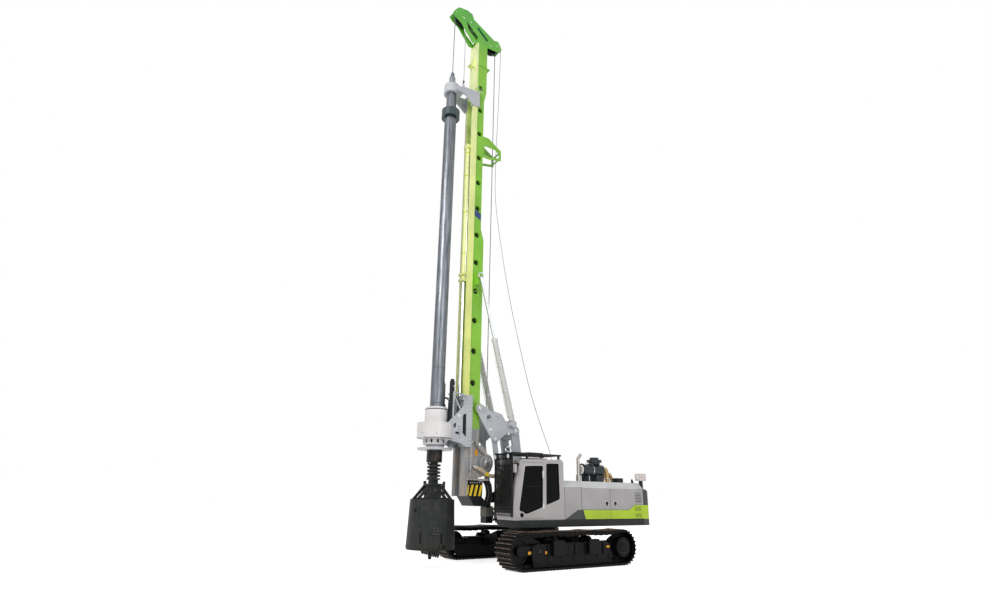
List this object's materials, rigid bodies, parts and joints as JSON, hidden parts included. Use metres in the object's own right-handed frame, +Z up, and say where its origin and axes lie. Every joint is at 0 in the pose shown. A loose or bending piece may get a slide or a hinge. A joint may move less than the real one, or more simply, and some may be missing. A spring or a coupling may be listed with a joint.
{
  "type": "rotary piling rig",
  "caption": "Crawler piling rig with a parallelogram mast linkage, rotary drive on a crowd carriage, telescopic kelly bar and a hinged-bottom drilling bucket.",
  "frame": {"origin": "middle of the bounding box on the ground plane", "axes": "+X towards the mast and bucket, +Y to the machine's left, +Z up"},
  "size_m": [7.757, 4.03, 19.279],
  "materials": {
    "track_steel": "worn rusty",
    "black_paint": "satin paint",
    "charcoal_paint": "satin paint",
    "dark_grey_paint": "satin paint",
    "lime_paint": "satin paint",
    "light_grey_paint": "satin paint",
    "cab_grey_paint": "satin paint",
    "bare_steel": "machined",
    "chrome": "polished",
    "kelly_steel": "worn",
    "bucket_steel": "worn paint",
    "seat_fabric": "matte"
  },
  "bodies": {
    "undercarriage": {"car_body": "black_paint", "left_track_frame": "black_paint", "right_track_frame": "black_paint", "left_track": "track_steel", "right_track": "track_steel", "left_track_wheels": "black_paint", "right_track_wheels": "black_paint"},
    "upper": {"upper_frame": "charcoal_paint", "counterweight": "dark_grey_paint", "engine_hood": "dark_grey_paint", "left_front_panel": "dark_grey_paint", "right_side_panel": "dark_grey_paint", "front_bulkhead": "dark_grey_paint", "engine_block": "bare_steel", "air_cleaner": "black_paint", "exhaust_stack": "chrome", "right_front_box": "dark_grey_paint", "auxiliary_winch_frame": "black_paint", "cab_frame": "cab_grey_paint", "cab_roof": "cab_grey_paint", "operator_seat": "seat_fabric", "cab_guard": "black_paint"},
    "auxiliary_drum": {"auxiliary_winch_drum": "bare_steel"},
    "cab_door_body": {"cab_door": "cab_grey_paint"},
    "front_service_door_body": {"front_service_door": "dark_grey_paint"},
    "rear_service_door_body": {"rear_service_door": "dark_grey_paint"},
    "rear_arm_body": {"rear_arm": "light_grey_paint"},
    "front_strut_body": {"front_struts": "light_grey_paint"},
    "luff_barrel_body": {"luff_cylinder_barrels": "dark_grey_paint"},
    "luff_rod_body": {"luff_cylinder_rods": "chrome"},
    "bracket_body": {"mast_bracket": "light_grey_paint"},
    "mast_barrel_body": {"mast_cylinder_barrels": "light_grey_paint"},
    "mast_rod_body": {"mast_cylinder_rods": "chrome"},
    "mast": {"mast_beam": "lime_paint", "lower_mast": "light_grey_paint", "mast_foot": "black_paint", "mast_head": "lime_paint", "crowd_cylinder_barrel": "black_paint", "rope_guide_basket": "lime_paint"},
    "main_drum": {"main_winch_drum": "black_paint"},
    "main_head_sheave_body": {"main_head_sheave": "bare_steel"},
    "main_rear_sheave_body": {"main_rear_sheave": "bare_steel"},
    "auxiliary_head_sheave_body": {"auxiliary_head_sheave": "bare_steel"},
    "auxiliary_rear_sheave_body": {"auxiliary_rear_sheave": "bare_steel"},
    "carriage": {"rotary_carriage": "light_grey_paint", "rotary_gearbox": "light_grey_paint", "drive_motors": "black_paint", "crowd_cylinder_rod": "chrome"},
    "drive_sleeve_body": {"drive_sleeve": "dark_grey_paint"},
    "guide": {"kelly_guide": "light_grey_paint", "rope_swivel": "bare_steel"},
    "kelly_outer": {"kelly_outer_tube": "kelly_steel"},
    "kelly_inner": {"kelly_inner_tube": "kelly_steel", "kelly_spring": "kelly_steel", "drilling_bucket": "bucket_steel"},
    "gate": {"bucket_gate": "bucket_steel"}
  },
  "joints": [
    {"name": "upper_swing", "type": "hinge", "parent": "undercarriage", "child": "upper", "pos_m": [-0.3205, 0, 1.036], "axis": [0, 0, 1], "continuous": true},
    {"name": "boom_luff", "type": "hinge", "parent": "upper", "child": "rear_arm_body", "pos_m": [0.3795, 0, 2.05], "axis": [0, 1, 0], "range_deg": [-8, 12]},
    {"name": "bracket_levelling", "type": "hinge", "parent": "rear_arm_body", "child": "bracket_body", "pos_m": [0.6585, 0, 3.742], "axis": [0, 1, 0], "range_deg": [-12.01, 8.01]},
    {"name": "front_strut_swing", "type": "hinge", "parent": "upper", "child": "front_strut_body", "pos_m": [1.1225, 0, 1.752], "axis": [0, 1, 0], "range_deg": [-8.01, 12.01]},
    {"name": "luff_cylinder_swing", "type": "hinge", "parent": "upper", "child": "luff_barrel_body", "pos_m": [-0.1705, 0, 1.45], "axis": [0, 1, 0], "range_deg": [-4.83, 7.23]},
    {"name": "luff_cylinder_stroke", "type": "slide", "parent": "luff_barrel_body", "child": "luff_rod_body", "axis": [0.3852, 0, 0.9228], "range_m": [-0.03591, 0.05362]},
    {"name": "mast_rake", "type": "hinge", "parent": "bracket_body", "child": "mast", "pos_m": [1.9845, 0, 4.313], "axis": [0, 1, 0], "range_deg": [-15, 5]},
    {"name": "mast_cylinder_swing", "type": "hinge", "parent": "bracket_body", "child": "mast_barrel_body", "pos_m": [0.8515, 0, 3.919], "axis": [0, 1, 0], "range_deg": [-13.07, 4.36]},
    {"name": "mast_cylinder_stroke", "type": "slide", "parent": "mast_barrel_body", "child": "mast_rod_body", "axis": [0.2697, 0, 0.9629], "range_m": [-0.27163, 0.09088]},
    {"name": "carriage_crowd", "type": "slide", "parent": "mast", "child": "carriage", "axis": [0, 0, 1], "range_m": [-0.25, 3]},
    {"name": "drive_spin", "type": "hinge", "parent": "carriage", "child": "drive_sleeve_body", "pos_m": [3.2185, 0, 3.047], "axis": [0, 0, 1], "continuous": true},
    {"name": "kelly_hoist", "type": "slide", "parent": "mast", "child": "guide", "axis": [0, 0, 1], "range_m": [-9, 0.05]},
    {"name": "kelly_spin", "type": "hinge", "parent": "guide", "child": "kelly_outer", "pos_m": [3.2185, 0, 2.715], "axis": [0, 0, 1], "continuous": true},
    {"name": "kelly_telescope", "type": "slide", "parent": "kelly_outer", "child": "kelly_inner", "axis": [0, 0, 1], "range_m": [-8, 0]},
    {"name": "bucket_gate_swing", "type": "hinge", "parent": "kelly_inner", "child": "gate", "pos_m": [3.2185, 0.7, 0.4922], "axis": [1, 0, 0], "range_deg": [0, 60]},
    {"name": "main_winch_turn", "type": "hinge", "parent": "mast", "child": "main_drum", "pos_m": [1.6695, 0, 2.76], "axis": [0, 1, 0], "continuous": true},
    {"name": "main_head_sheave_turn", "type": "hinge", "parent": "mast", "child": "main_head_sheave_body", "pos_m": [2.9385, 0, 18.79], "axis": [0, 1, 0], "continuous": true},
    {"name": "main_rear_sheave_turn", "type": "hinge", "parent": "mast", "child": "main_rear_sheave_body", "pos_m": [1.6995, 0, 18.15], "axis": [0, 1, 0], "continuous": true},
    {"name": "auxiliary_head_sheave_turn", "type": "hinge", "parent": "mast", "child": "auxiliary_head_sheave_body", "pos_m": [2.5935, 0.08, 18.79], "axis": [0, 1, 0], "continuous": true},
    {"name": "auxiliary_rear_sheave_turn", "type": "hinge", "parent": "mast", "child": "auxiliary_rear_sheave_body", "pos_m": [1.4095, 0.08, 18.29], "axis": [0, 1, 0], "continuous": true},
    {"name": "auxiliary_winch_turn", "type": "hinge", "parent": "upper", "child": "auxiliary_drum", "pos_m": [-1.0205, 0.08, 2.5], "axis": [0, 1, 0], "continuous": true},
    {"name": "cab_door_swing", "type": "hinge", "parent": "upper", "child": "cab_door_body", "pos_m": [0.4445, 1.49, 1.223], "axis": [0, 0, 1], "range_deg": [0, 150]},
    {"name": "front_service_door_swing", "type": "hinge", "parent": "upper", "child": "front_service_door_body", "pos_m": [-0.9405, 1.49, 1.223], "axis": [0, 0, -1], "range_deg": [0, 100]},
    {"name": "rear_service_door_swing", "type": "hinge", "parent": "upper", "child": "rear_service_door_body", "pos_m": [-3.5785, 1.49, 1.223], "axis": [0, 0, 1], "range_deg": [0, 100]}
  ],
  "couplings": [
    {"joint": "bracket_levelling", "follows": "boom_luff", "ratio": -1},
    {"joint": "front_strut_swing", "follows": "boom_luff", "ratio": 1},
    {"joint": "luff_cylinder_swing", "follows": "boom_luff", "ratio": 0.6019},
    {"joint": "luff_cylinder_stroke", "follows": "boom_luff", "m_per_rad": 0.25362},
    {"joint": "mast_cylinder_swing", "follows": "mast_rake", "ratio": 0.8707},
    {"joint": "mast_cylinder_stroke", "follows": "mast_rake", "m_per_rad": 1.0356},
    {"joint": "kelly_spin", "follows": "drive_spin", "ratio": 1}
  ]
}
